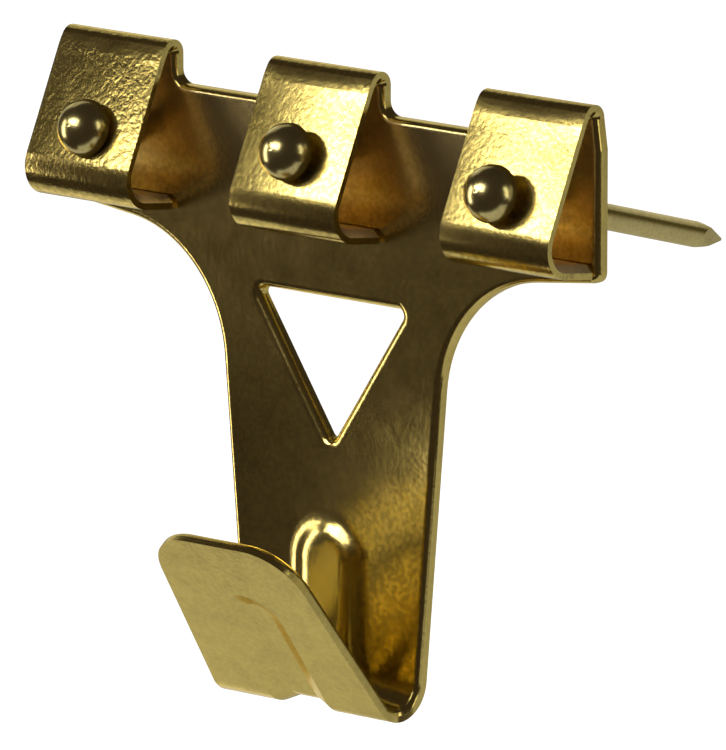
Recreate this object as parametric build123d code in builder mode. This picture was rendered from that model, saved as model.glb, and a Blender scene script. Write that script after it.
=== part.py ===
from build123d import *
from math import cos, radians, sin, tan
import os

# A picture hanger for heavy frames: one stamped and folded steel sheet, and three nails.
# Each tab over the bar folds forward and steers a nail down into the wall. The stem below
# the bar ends in a hook, with a rib pressed through its bend.
# The origin is on the back face of the sheet and on its centre line, level with the places
# where the outer nails' axes cross it. X runs along the bar, Y points into the wall and Z
# points up. Lengths are millimetres.

# Sheet
sheet = 0.95
edge_roll = 0.5

# Bar and stem, seen from the front
bar_width = 46.9
bar_top = 4.45
bar_end_drop = 4.6
bar_corner_radius = 0.75
shoulder_drop = 1.62
shoulder_width = 20.6
shoulder_radius = 9.5
stem_foot_drop = 34.4
stem_foot_width = 15.7
neck_radius = 1.0

# Window between the shoulders
window_width = 13.14
window_drop = 8.73
window_height = 10.04
window_corner_radius = 0.4
window_roll = 0.7

# Tabs
tab_pitch = 18.5
tab_width = 9.3
fold_rise = 2.05
fold_inner_radius = 0.1
ease_radius = 6.0
ease_angle = 10.0
face_length = 7.7
face_angle = 25.5
bend_inner_radius = 1.25
flange_length = 2.85
flange_angle = 8.0

# Hook
hook_inner_radius = 1.5
lip_angle = 36.0
lip_length = 14.85
lip_foot_width = 14.9
lip_tip_width = 12.0
lip_corner_radius = 3.8

# Rib pressed through the hook's bend, and the groove that it leaves behind
rib_width = 7.2
rib_crown_width = 2.6
rib_height = 0.65
rib_run = 7.4
groove_width = 5.2
groove_floor_width = 2.2

# Nails. The outer ones are nearer the middle than their tabs by the inset, and the middle one
# is higher than they are by the rise
nail_length = 25.4
shank_diameter = 1.8
head_diameter = 4.0
point_length = 3.0
point_width = 0.16
nail_angle = 15.7
nail_inset = 0.25
middle_rise = 0.6
hole_clearance = 0.06
seat_gap = 0.03
standoffs = {"nail_left": 0.0, "nail_middle": 0.4, "nail_right": 0.6}

# Cuts run past the faces that they leave by this much
overrun = 1.0

# Levels of the blank
fold_height = bar_top + fold_rise
fold_radius = fold_inner_radius + sheet
shoulder_level = -bar_end_drop - shoulder_drop
nail_places = {
    "nail_left": (nail_inset - tab_pitch, 0),
    "nail_middle": (0, middle_rise),
    "nail_right": (tab_pitch - nail_inset, 0),
}
lean = abs(face_angle - nail_angle)

# The hook's two sides lie on these planes, on the inside of the hook. On both of them the
# bend is at the origin, local Y runs away from it and local Z points out of the sheet.
hook_radius = hook_inner_radius + sheet
lip_out = Vector(0, cos(radians(lip_angle)), sin(radians(lip_angle)))
stem_face = Plane((0, -sheet, -stem_foot_drop), x_dir=(1, 0, 0), z_dir=(0, -1, 0))
lip_face = Plane(
    Vector(0, -hook_radius, -stem_foot_drop) - lip_out * hook_inner_radius,
    x_dir=(-1, 0, 0),
    z_dir=lip_out,
)


def pressing(face, foot, crown, depth, soft):
    """A ridge that stands on a face of the hook from the bend to a domed end."""
    section = Plane(face.origin, x_dir=-face.x_dir, z_dir=face.z_dir.cross(face.x_dir))
    with BuildPart() as ridge:
        with BuildSketch(section) as half:
            with BuildLine():
                if soft:
                    middle = ((foot + crown) / 2, rib_height / 2)
                    flank = TangentArc((foot, 0), middle, tangent=(-1, 0))
                    TangentArc(middle, (crown, rib_height), tangent=flank % 1)
                else:
                    Line((foot, 0), (crown, rib_height))
                Polyline((crown, rib_height), (0, rib_height), (0, -depth), (foot, -depth), (foot, 0))
            make_face()
        extrude(amount=rib_run)
        mirror(about=Plane(face.origin, z_dir=face.x_dir))
        end = section.offset(rib_run)
        with BuildSketch(end):
            add(half.sketch_local)
        revolve(axis=Axis(end.origin, -face.z_dir), revolution_arc=180)
    return ridge.part


def press(face):
    """The rib on one side of the hook, and the groove that pressing it leaves behind."""
    add(pressing(face, rib_width / 2, rib_crown_width / 2, sheet / 2, soft=True))
    back = face.offset(-sheet)
    groove = pressing(back, groove_width / 2, groove_floor_width / 2, overrun, soft=False)
    add(groove, mode=Mode.SUBTRACT)


# The flat part: bar, necks, stem and window, with its front edges rolled by the punch
with BuildPart() as flat:
    with BuildSketch(Plane.XZ) as outline:
        with BuildLine():
            Polyline(
                (0, -stem_foot_drop),
                (stem_foot_width / 2, -stem_foot_drop),
                (shoulder_width / 2, shoulder_level),
                (bar_width / 2, -bar_end_drop),
                (bar_width / 2, bar_top),
                (tab_pitch + tab_width / 2, fold_height),
                (tab_pitch - tab_width / 2, fold_height),
                (tab_pitch - tab_width / 2, bar_top),
                (tab_width / 2, bar_top),
                (tab_width / 2, fold_height),
                (0, fold_height),
            )
            mirror(about=Plane.YZ)
        make_face()
        for level, radius in ((3, neck_radius), (2, bar_corner_radius), (1, shoulder_radius)):
            fillet(outline.vertices().group_by(Axis.Y)[level], radius)
    extrude(amount=sheet)
    with BuildSketch(Plane.XZ) as window:
        with BuildLine():
            Polyline(
                (-window_width / 2, -window_drop),
                (window_width / 2, -window_drop),
                (0, -window_drop - window_height),
                close=True,
            )
        make_face()
        fillet(window.vertices(), window_corner_radius)
    extrude(amount=sheet, mode=Mode.SUBTRACT)
    front = flat.faces().sort_by(Axis.Y)[0]
    rims = front.outer_wire().edges()
    foot_rim = rims.group_by(Axis.Z)[0]
    fold_rims = rims.group_by(Axis.Z)[-1]
    fillet(front.inner_wires()[0].edges(), window_roll)
    fillet(rims - foot_rim - fold_rims, edge_roll)

# The lip, on the inside of the hook
with BuildPart() as lip:
    with BuildSketch(lip_face) as tongue:
        with BuildLine():
            Polyline(
                (0, 0),
                (lip_foot_width / 2, 0),
                (lip_tip_width / 2, lip_length),
                (0, lip_length),
            )
            mirror(about=Plane.YZ)
        make_face()
        fillet(tongue.vertices().group_by(Axis.Y)[-1], lip_corner_radius)
    extrude(amount=-sheet)
    lip_climb = Axis(lip_face.origin, lip_face.y_dir)
    brims = lip.faces().sort_by(Axis(lip_face.origin, lip_face.z_dir))[-1].edges()
    fillet(brims - brims.sort_by(lip_climb)[:1], edge_roll)

# Both sides of the hook carry the rib and its groove, and the bend sweeps from one side's
# end to the other's
with BuildPart() as stem:
    add(flat.part)
    press(stem_face)
with BuildPart() as hook:
    add(lip.part)
    press(lip_face)
with BuildPart() as bend:
    with BuildLine(Plane.YZ) as turn:
        CenterArc((-hook_radius, -stem_foot_drop), hook_radius, 0, lip_angle - 180)
    sweep(
        sections=[stem.faces().sort_by(Axis.Z)[0], hook.faces().sort_by(lip_climb)[0]],
        path=turn.wires()[0],
        multisection=True,
    )

# The tabs, each swept from its own top on the blank, with the roll cut straight to a bevel:
# fold, sloping face, bottom bend and return flange
with BuildPart() as tabs:
    with BuildLine(Plane.YZ) as course:
        fold = JernArc((0, fold_height), (0, 1), fold_radius, 180 - face_angle - ease_angle)
        ease = JernArc(fold @ 1, fold % 1, ease_radius, ease_angle)
        face = PolarLine(ease @ 1, face_length, direction=ease % 1)
        base_turn = 90 + face_angle - flange_angle
        base = JernArc(face @ 1, face % 1, bend_inner_radius + sheet, base_turn)
        PolarLine(base @ 1, flange_length, direction=base % 1)
    tops = flat.faces().filter_by(Axis.Z).group_by(Axis.Z)[-1]
    corners = [[edge @ 0 for edge in top.outer_wire().order_edges()] for top in tops]
    sweep(sections=[Face(Wire.make_polygon(ring)) for ring in corners], path=course.wires()[0])


def face_reach(rise):
    """How far a nail runs from the back of the sheet to the front of its tab's sloping face."""
    across = (
        fold_radius * (1 + cos(radians(face_angle)))
        + (ease_radius - fold_radius) * (1 - cos(radians(ease_angle)))
        + (fold_height - rise) * sin(radians(face_angle))
    )
    return across / cos(radians(lean))


def nail_plane(place, reach):
    """A plane square to a nail's axis, at a distance out of the wall along it."""
    x, rise = place
    out = (0, -cos(radians(nail_angle)), sin(radians(nail_angle)))
    return Plane((x, 0, rise), x_dir=(1, 0, 0), z_dir=out).offset(reach)


# The whole sheet, with a guide hole through each tab's face and the bar behind it
with BuildPart() as hanger_body:
    add([stem.part, bend.part, hook.part, tabs.part])
    with Locations(*[nail_plane(place, 0) for place in nail_places.values()]):
        Cylinder(
            shank_diameter / 2 + hole_clearance,
            2 * (face_reach(0) + overrun),
            mode=Mode.SUBTRACT,
        )
hanger_body.part.label = "hanger_body"

# Nails: a domed head, a round shank and a point cut with four flats. A nail is home when the
# lower rim of its head's flat underside is on the tab's face.
nails = []
for label, place in nail_places.items():
    home = face_reach(place[1]) + head_diameter / 2 * tan(radians(lean)) + seat_gap
    seat = nail_plane(place, home + standoffs[label])
    with BuildPart() as nail:
        with BuildSketch(seat):
            Circle(shank_diameter / 2)
        extrude(amount=-nail_length)
        for quarter in range(4):
            turned = Plane(seat.location * Rotation(0, 0, quarter * 90))
            with BuildSketch(Plane(turned.origin, x_dir=turned.x_dir, z_dir=-turned.y_dir)):
                with BuildLine():
                    Polyline(
                        (shank_diameter / 2, point_length - nail_length),
                        (shank_diameter / 2 + overrun, point_length - nail_length),
                        (shank_diameter / 2 + overrun, -nail_length),
                        (point_width / 2, -nail_length),
                        close=True,
                    )
                make_face()
            extrude(amount=shank_diameter, both=True, mode=Mode.SUBTRACT)
        with Locations(seat):
            Sphere(head_diameter / 2, arc_size1=0, align=(Align.CENTER, Align.CENTER, Align.MIN))
    nail.part.label = label
    nails.append(nail.part)

os.makedirs("parts", exist_ok=True)
for part in [hanger_body.part] + nails:
    export_step(part, f"parts/{part.label}.step")
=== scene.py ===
import math

import bpy
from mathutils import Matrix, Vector

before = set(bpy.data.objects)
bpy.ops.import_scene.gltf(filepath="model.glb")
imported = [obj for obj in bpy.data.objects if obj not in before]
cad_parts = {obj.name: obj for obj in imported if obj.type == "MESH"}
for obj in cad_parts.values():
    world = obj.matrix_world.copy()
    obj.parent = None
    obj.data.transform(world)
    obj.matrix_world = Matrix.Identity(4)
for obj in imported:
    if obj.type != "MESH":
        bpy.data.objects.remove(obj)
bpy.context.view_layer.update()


def addObject(name, data):
    thing = bpy.data.objects.new(name, data)
    bpy.context.scene.collection.objects.link(thing)
    return thing


def placeBack(thing, values, target=(0, 0, 0)):
    # puts a camera or lamp away from the target, and aims it there. An azimuth of 0 is square
    # on to the hanger's front, and it grows to the right, in degrees.
    a, e = math.radians(values["azimuth"]), math.radians(values["elevation"])
    back = Vector((math.sin(a) * math.cos(e), -math.cos(a) * math.cos(e), math.sin(e)))
    thing.location = Vector(target) + back * values["distance"]
    thing.rotation_mode = "QUATERNION"
    thing.rotation_quaternion = (-back).to_track_quat("-Z", "Y")


# Camera, at the photograph's angle with a long lens
cameraValues = {
    "azimuth": 40.0,
    "elevation": 12.17,
    "distance": 0.8,
    "target": (0.00219, 0.0, -0.01386),
    "lens": 565.06,
    "sensor": 36.0,
    "clip": (0.01, 20.0),
}


def makeCamera(values):
    data = bpy.data.cameras.new("photoCamera")
    data.lens, data.sensor_width = values["lens"], values["sensor"]
    data.clip_start, data.clip_end = values["clip"]
    camera = addObject("photoCamera", data)
    placeBack(camera, values, values["target"])
    bpy.context.scene.camera = camera


makeCamera(cameraValues)
print("camera set")


# Node helpers
def addNode(tree, kind, settings=None, **inputs):
    # an input is named by its socket's label, or by _ and its index, and a socket given as its
    # value is linked to it
    made = tree.nodes.new("ShaderNode" + kind)
    for name, value in (settings or {}).items():
        setattr(made, name, value)
    for name, value in inputs.items():
        socket = made.inputs[int(name[1:])] if name[1:].isdigit() else made.inputs[name]
        if isinstance(value, bpy.types.NodeSocket):
            tree.links.new(value, socket)
        else:
            socket.default_value = value
    return made


def addMath(tree, operation, first, second):
    return addNode(tree, "Math", {"operation": operation}, _0=first, _1=second).outputs[0]


def addProduct(tree, first, *others):
    for other in others:
        first = addMath(tree, "MULTIPLY", first, other)
    return first


def addRest(tree, share):
    return addMath(tree, "SUBTRACT", 1.0, share)


def addBlend(tree, share, low, high):
    # goes from low to high, two plain numbers, as the share rises from 0 to 1
    return addMath(tree, "ADD", addMath(tree, "MULTIPLY", share, high - low), low)


def addStep(tree, value, low, high):
    # rises smoothly from 0 at low to 1 at high
    step = addNode(tree, "MapRange", {"interpolation_type": "SMOOTHSTEP"}, Value=value)
    step.inputs["From Min"].default_value = low
    step.inputs["From Max"].default_value = high
    return step.outputs[0]


def addNoise(tree, place, size, detail):
    scale = addMath(tree, "DIVIDE", 1.0, size)
    return addNode(tree, "TexNoise", Vector=place, Scale=scale, Detail=detail).outputs[0]


def addMix(tree, share, first, second):
    mix = addNode(tree, "Mix", {"data_type": "RGBA"}, _0=share, _6=first, _7=second)
    return mix.outputs[2]


# Brass plating on steel. Its colour drifts to a stain in soft clouds, and the grain of the
# rolled steel shows through in the gloss and the surface.
platingValues = {
    "cloudDetail": 3.0,
    "grainDetail": 3.0,
    "waveDetail": 1.0,
    "cloudEdges": (0.38, 0.68),  # the noise levels where the stain starts and is full
    "grainEdges": (0.4, 0.6),
    "meanLevels": 1.0,  # of the two noises together
}
platingInputs = {
    "Color": "Color",
    "Stain Color": "Color",
    "Stain": "Float",
    "Grain Stain": "Float",
    "Cloud Size": "Float",
    "Grain Size": "Float",
    "Grain Depth": "Float",
    "Wave Size": "Float",
    "Wave Height": "Float",
    "Roughness": "Float",
    "Roughness Spread": "Float",
}
platingOutputs = {"Color": "Color", "Roughness": "Float", "Height": "Float"}


def makePlatingGroup(values):
    group = bpy.data.node_groups.new("platedSteel", "ShaderNodeTree")
    for way, sockets in (("INPUT", platingInputs), ("OUTPUT", platingOutputs)):
        for label, kind in sockets.items():
            group.interface.new_socket(name=label, in_out=way, socket_type="NodeSocket" + kind)
    given = group.nodes.new("NodeGroupInput").outputs
    result = group.nodes.new("NodeGroupOutput").inputs
    place = addNode(group, "TexCoord").outputs["Object"]
    clouds = addNoise(group, place, given["Cloud Size"], values["cloudDetail"])
    grain = addNoise(group, place, given["Grain Size"], values["grainDetail"])
    wave = addNoise(group, place, given["Wave Size"], values["waveDetail"])
    stained = addProduct(group, addStep(group, clouds, *values["cloudEdges"]), given["Stain"])
    flecked = addStep(group, grain, *values["grainEdges"])
    flecked = addProduct(group, flecked, given["Grain Stain"])
    stained = addMath(group, "ADD", stained, flecked)
    tone = addMix(group, stained, given["Color"], given["Stain Color"])
    drift = addMath(group, "ADD", clouds, grain)
    drift = addMath(group, "SUBTRACT", drift, values["meanLevels"])
    spread = addProduct(group, drift, given["Roughness Spread"])
    swell = addMath(group, "ADD", grain, addProduct(group, wave, given["Wave Height"]))
    group.links.new(tone, result["Color"])
    group.links.new(addMath(group, "ADD", given["Roughness"], spread), result["Roughness"])
    group.links.new(addProduct(group, swell, given["Grain Depth"]), result["Height"])
    return group


platedSteel = makePlatingGroup(platingValues)


def makePlating(name, values):
    # returns the material, its tree and the inputs that one piece may link more to
    material = bpy.data.materials.new(name)
    material.use_nodes = True
    tree = material.node_tree
    shader = tree.nodes["Principled BSDF"].inputs
    shader["Metallic"].default_value = values["metallic"]
    shader["Specular Tint"].default_value = (*values["grazingColor"], 1)
    finish = addNode(tree, "Group", {"node_tree": platedSteel})
    for socket in finish.inputs:
        key = socket.name.replace(" ", "")
        value = values[key[0].lower() + key[1:]]
        socket.default_value = (*value, 1) if isinstance(value, tuple) else value
    bump = addNode(tree, "Bump", Height=finish.outputs["Height"], Distance=1.0)
    tree.links.new(finish.outputs["Color"], shader["Base Color"])
    tree.links.new(finish.outputs["Roughness"], shader["Roughness"])
    tree.links.new(bump.outputs[0], shader["Normal"])
    return material, tree, finish.inputs, bump.inputs, shader


# The sheet. Inside the tabs the plating is duller and has a copper tone, lightened as painted
# light for the dim insides, and the plate's upper front next to the tabs takes part of that
# tone as a painted reflection of the insides. The press left each tab's face a little crowned
# and the stem a little hollow towards the hook, and the left tab's face curls over more than
# the others.
sheetValues = {
    "color": (0.84, 0.67, 0.20),
    "stainColor": (0.54, 0.42, 0.13),
    "grazingColor": (0.93, 0.87, 0.68),
    "metallic": 1.0,
    "stain": 0.25,
    "grainStain": 0.2,
    "frontGrainStain": 0.75,  # on the plate below the tabs
    "tabGrainStain": 0.8,
    "cloudSize": 0.0016,
    "grainSize": 0.00035,
    "grainDepth": 0.00001,
    "leftGrainDepth": 0.000021,  # on the left tab
    "waveSize": 0.003,
    "waveHeight": 1.8,  # as a share of the grain's depth
    "roughness": 0.18,
    "roughnessSpread": 0.10,
    "frontDepth": -0.0011,  # y just in front of the plate
    "frontFacing": -0.9,  # a front normal's y is under this
    "softness": 0.0003,
    # the copper tone of the tabs' insides, lightened as painted light
    "insideColor": (0.90, 0.71, 0.47),
    "insideFoot": -0.006,
    "insideFacing": (0.0, 0.15),
    "insideRoughness": 0.34,
    "insideMetallic": 0.85,
    "insidePlate": 0.4,  # how much of the copper tone the plate's front next to the tabs has, as a painted reflection of the insides
    "insidePlateLevels": (-0.007, 0.004),
    "tabPitch": 0.0185,
    "tabHalf": 0.00465,
    "tabSlope": 0.056,  # at the tab's sides
    "tabDepths": (-0.003, -0.001),
    "leftFoot": -0.0035,
    "leftHeight": 0.0095,
    "leftSlope": 0.075,  # at the top of the left tab's face
    "stemHalf": 0.0079,
    "stemSlope": 0.074,  # at the stem's sides
    "stemLevels": (-0.019, -0.0115),
}


def addParabola(tree, across, half, slope):
    # rises from the middle, and has this slope at the half width
    return addProduct(tree, across, across, slope / 2 / half)


def addSheetShape(tree, place, leftTab, values):
    x, y, z = place
    half, curlSlope = values["tabPitch"] / 2, values["leftSlope"]
    wrap = addNode(tree, "Math", {"operation": "WRAP"}, _0=x, _1=half, _2=-half)
    crown = addParabola(tree, wrap.outputs[0], values["tabHalf"], -values["tabSlope"])
    up = addMath(tree, "SUBTRACT", z, values["leftFoot"])
    curl = addParabola(tree, up, values["leftHeight"], -curlSlope)
    curl = addMath(tree, "ADD", curl, curlSlope * values["leftHeight"] / 2)
    behind = addStep(tree, y, *values["tabDepths"])
    tabs = addMath(tree, "ADD", crown, addProduct(tree, curl, leftTab))
    tabs = addProduct(tree, tabs, addRest(tree, behind))
    below = addRest(tree, addStep(tree, z, *values["stemLevels"]))
    hollow = addParabola(tree, x, values["stemHalf"], values["stemSlope"])
    height = addMath(tree, "ADD", tabs, addProduct(tree, hollow, below, behind))
    return addNode(tree, "Bump", Height=height, Distance=1.0).outputs[0]


def makeSheetPlating(values):
    material, tree, finish, bump, shader = makePlating("platedSheet", values)
    coords = addNode(tree, "TexCoord").outputs
    place = addNode(tree, "SeparateXYZ", Vector=coords["Object"]).outputs
    normal = addNode(tree, "SeparateXYZ", Vector=coords["Normal"]).outputs
    depth, foot, soft = values["frontDepth"], values["insideFoot"], values["softness"]
    behind = addStep(tree, place["Y"], depth - soft, depth)
    tabs = addProduct(tree, addStep(tree, place["Z"], foot, foot + soft), addRest(tree, behind))
    leftTab = addMath(tree, "LESS_THAN", place["X"], -values["tabPitch"] / 2)

    # the inner sides of the tabs face the plate, apart from the flange's, which faces up
    flange = addProduct(tree, normal["Z"], addMath(tree, "LESS_THAN", place["Z"], 0.0))
    inward = addMath(tree, "ADD", normal["Y"], flange)
    inside = addProduct(tree, tabs, addStep(tree, inward, *values["insideFacing"]))
    outside = addProduct(tree, tabs, addMath(tree, "LESS_THAN", normal["Y"], 0.0))
    facing = addMath(tree, "LESS_THAN", normal["Y"], values["frontFacing"])
    front = addProduct(tree, behind, facing)
    high = addStep(tree, place["Z"], *values["insidePlateLevels"])
    # on the plate's upper front, a painted reflection of the tabs' copper insides
    paintedPlateReflection = addProduct(tree, front, high, values["insidePlate"])
    copperWithPaintedLight = addMath(tree, "ADD", inside, paintedPlateReflection)

    # the copper tone, lightened as painted light inside the tabs, and a painted reflection on
    # the plate
    color, paintedLightCopper = (*values["color"], 1), (*values["insideColor"], 1)
    tree.links.new(addMix(tree, copperWithPaintedLight, color, paintedLightCopper), finish["Color"])
    rough = addBlend(tree, copperWithPaintedLight, values["roughness"], values["insideRoughness"])
    tree.links.new(rough, finish["Roughness"])
    metal = addBlend(tree, inside, values["metallic"], values["insideMetallic"])
    tree.links.new(metal, shader["Metallic"])
    lower = addProduct(tree, front, addRest(tree, high))
    flecks = addBlend(tree, lower, values["grainStain"], values["frontGrainStain"])
    tabFlecks = addProduct(tree, outside, values["tabGrainStain"] - values["grainStain"])
    tree.links.new(addMath(tree, "ADD", flecks, tabFlecks), finish["Grain Stain"])
    deep = addProduct(tree, leftTab, outside)
    deep = addBlend(tree, deep, values["grainDepth"], values["leftGrainDepth"])
    tree.links.new(deep, finish["Grain Depth"])
    tree.links.new(addSheetShape(tree, place, leftTab, values), bump["Normal"])
    return material


# The nails, drawn from wire, so smoother and less yellow
nailValues = {
    "color": (0.76, 0.64, 0.26),
    "stainColor": (0.58, 0.49, 0.20),
    "grazingColor": (1.0, 0.95, 0.8),
    "metallic": 1.0,
    "stain": 0.3,
    "grainStain": 0.4,
    "cloudSize": 0.0012,
    "grainSize": 0.0003,
    "grainDepth": 0.000002,
    "waveSize": 0.002,
    "waveHeight": 2.0,
    "roughness": 0.22,
    "roughnessSpread": 0.08,
}

sheetPlating = makeSheetPlating(sheetValues)
nailPlating = makePlating("platedNail", nailValues)[0]
for name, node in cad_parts.items():
    plating = nailPlating if name.startswith("nail") else sheetPlating
    node.material_slots[0].material = plating
print("materials set")


# Floor. The metal sees it below and to the left, but not under the hook's right side
floorValues = {
    "height": -0.10,
    "outline": (
        (-0.19, -0.02), (-0.055, -0.02), (-0.03, -0.06), (0.19, -0.06), (0.19, 0.1),
        (1.2, 0.1), (1.2, 1.5), (-1.0, 1.5), (-1.0, 0.1), (-0.19, 0.1),
    ),
    "color": (0.73, 0.73, 0.73),
    "glow": 0.82,
    "mirroredGlow": 0.02,
}


def makeFloor(values):
    outline = values["outline"]
    mesh = bpy.data.meshes.new("floor")
    corners = [(x, y, values["height"]) for x, y in outline]
    mesh.from_pydata(corners, [], [tuple(range(len(outline)))])
    addObject("floor", mesh)
    material = bpy.data.materials.new("floorWhite")
    material.use_nodes = True
    tree = material.node_tree
    tree.nodes.remove(tree.nodes["Principled BSDF"])
    path = addNode(tree, "LightPath").outputs
    seen = addProduct(tree, path["Is Camera Ray"], values["glow"])
    mirrored = addMath(tree, "ADD", path["Is Glossy Ray"], path["Is Transmission Ray"])
    mirrored = addProduct(tree, mirrored, values["mirroredGlow"])
    glow = addNode(tree, "Emission", Strength=addMath(tree, "ADD", seen, mirrored))
    diffuse = addNode(tree, "BsdfDiffuse", Color=(*values["color"], 1))
    total = addNode(tree, "AddShader", _0=diffuse.outputs[0], _1=glow.outputs[0])
    tree.links.new(total.outputs[0], tree.nodes["Material Output"].inputs["Surface"])
    mesh.materials.append(material)


# World. It is white to the camera. The metal sees a pale backdrop behind a dim warm room. The
# steps are measured on the x, y and z of the direction of view.
worldValues = {
    "leftColor": (0.62, 0.61, 0.58),
    "rightColor": (0.34, 0.32, 0.26),
    "leftToRight": (-0.2, 0.4),
    "roomColor": (0.034, 0.025, 0.021),
    "roomToBackdrop": (0.15, 0.45),
    "backdropTop": (0.35, 0.5),
    "stripColor": (0.06, 0.05, 0.02),  # a dark strip in the backdrop
    "stripLeft": (0.08, 0.22),
    "stripRight": (0.52, 0.62),
    "stripFoot": (-0.14, -0.06),
    "ambientColor": (0.3, 0.3, 0.3),
}


def makeWorld(values):
    world = bpy.data.worlds.new("studio")
    bpy.context.scene.world = world
    world.use_nodes = True
    tree = world.node_tree
    view = addNode(tree, "TexCoord").outputs["Generated"]
    x, y, z = addNode(tree, "SeparateXYZ", Vector=view).outputs
    tones = {key: (*value, 1) for key, value in values.items() if key.endswith("Color")}
    toRight = addStep(tree, x, *values["leftToRight"])
    backdrop = addMix(tree, toRight, tones["leftColor"], tones["rightColor"])
    start, end = (addStep(tree, x, *values[key]) for key in ("stripLeft", "stripRight"))
    strip = addMath(tree, "SUBTRACT", start, end)
    strip = addProduct(tree, strip, addStep(tree, z, *values["stripFoot"]))
    backdrop = addMix(tree, strip, backdrop, tones["stripColor"])
    behind = addStep(tree, y, *values["roomToBackdrop"])
    under = addRest(tree, addStep(tree, z, *values["backdropTop"]))
    mirrored = addMix(tree, addProduct(tree, behind, under), tones["roomColor"], backdrop)
    path = addNode(tree, "LightPath").outputs
    sharp = addMath(tree, "ADD", path["Is Glossy Ray"], path["Is Transmission Ray"])
    lit = addMix(tree, sharp, tones["ambientColor"], mirrored)
    color = addMix(tree, path["Is Camera Ray"], lit, (1, 1, 1, 1))
    tree.links.new(color, tree.nodes["Background"].inputs["Color"])


# Lamps: close soft panels at the front and the sides, and one overhead that the metal doesn't
# mirror. A lamp's level is the brightness that a mirror would show, where 1 is white.
lampValues = {
    "tabPanel": {
        "azimuth": -32.1, "elevation": 26.3, "distance": 0.32, "size": (0.12, 0.042),
        "level": 9.0, "color": (1, 0.98, 0.94), "mirrored": True,
    },
    "tallPanel": {
        "azimuth": -61, "elevation": -3, "distance": 0.8, "size": (0.22, 0.6),
        "level": 3.4, "color": (1, 0.93, 0.90), "mirrored": True,
    },
    "headPanel": {
        "azimuth": -14, "elevation": 29, "distance": 0.6, "size": (0.3, 0.24),
        "level": 4.0, "color": (1, 0.95, 0.94), "mirrored": True,
    },
    "leftPanel": {
        "azimuth": -116, "elevation": -42, "distance": 0.12, "size": (0.06, 0.06),
        "level": 0.35, "color": (1, 0.95, 0.9), "mirrored": True,
    },
    "backPanel": {
        "azimuth": -120, "elevation": 34, "distance": 0.18, "size": (0.12, 0.09),
        "level": 0.42, "color": (1, 0.98, 0.94), "mirrored": True,
    },
    "sidePanel": {
        "azimuth": 94, "elevation": 12, "distance": 0.8, "size": (0.2, 0.55),
        "level": 1.5, "color": (1, 0.97, 0.85), "mirrored": True,
    },
    "topPanel": {
        "azimuth": 20, "elevation": 80, "distance": 1.0, "size": (0.8, 0.8),
        "level": 0.6, "color": (1, 1, 1), "mirrored": False,
    },
}


def makeLamp(name, values):
    data = bpy.data.lights.new(name, "AREA")
    data.shape = "RECTANGLE"
    data.size, data.size_y = values["size"]
    data.energy = values["level"] * math.pi * data.size * data.size_y
    data.color = values["color"]
    lamp = addObject(name, data)
    lamp.visible_glossy = values["mirrored"]
    placeBack(lamp, values)


makeFloor(floorValues)
makeWorld(worldValues)
for name, values in lampValues.items():
    makeLamp(name, values)
print("stage set")

bpy.context.scene.view_settings.view_transform = "Standard"
bpy.context.view_layer.update()
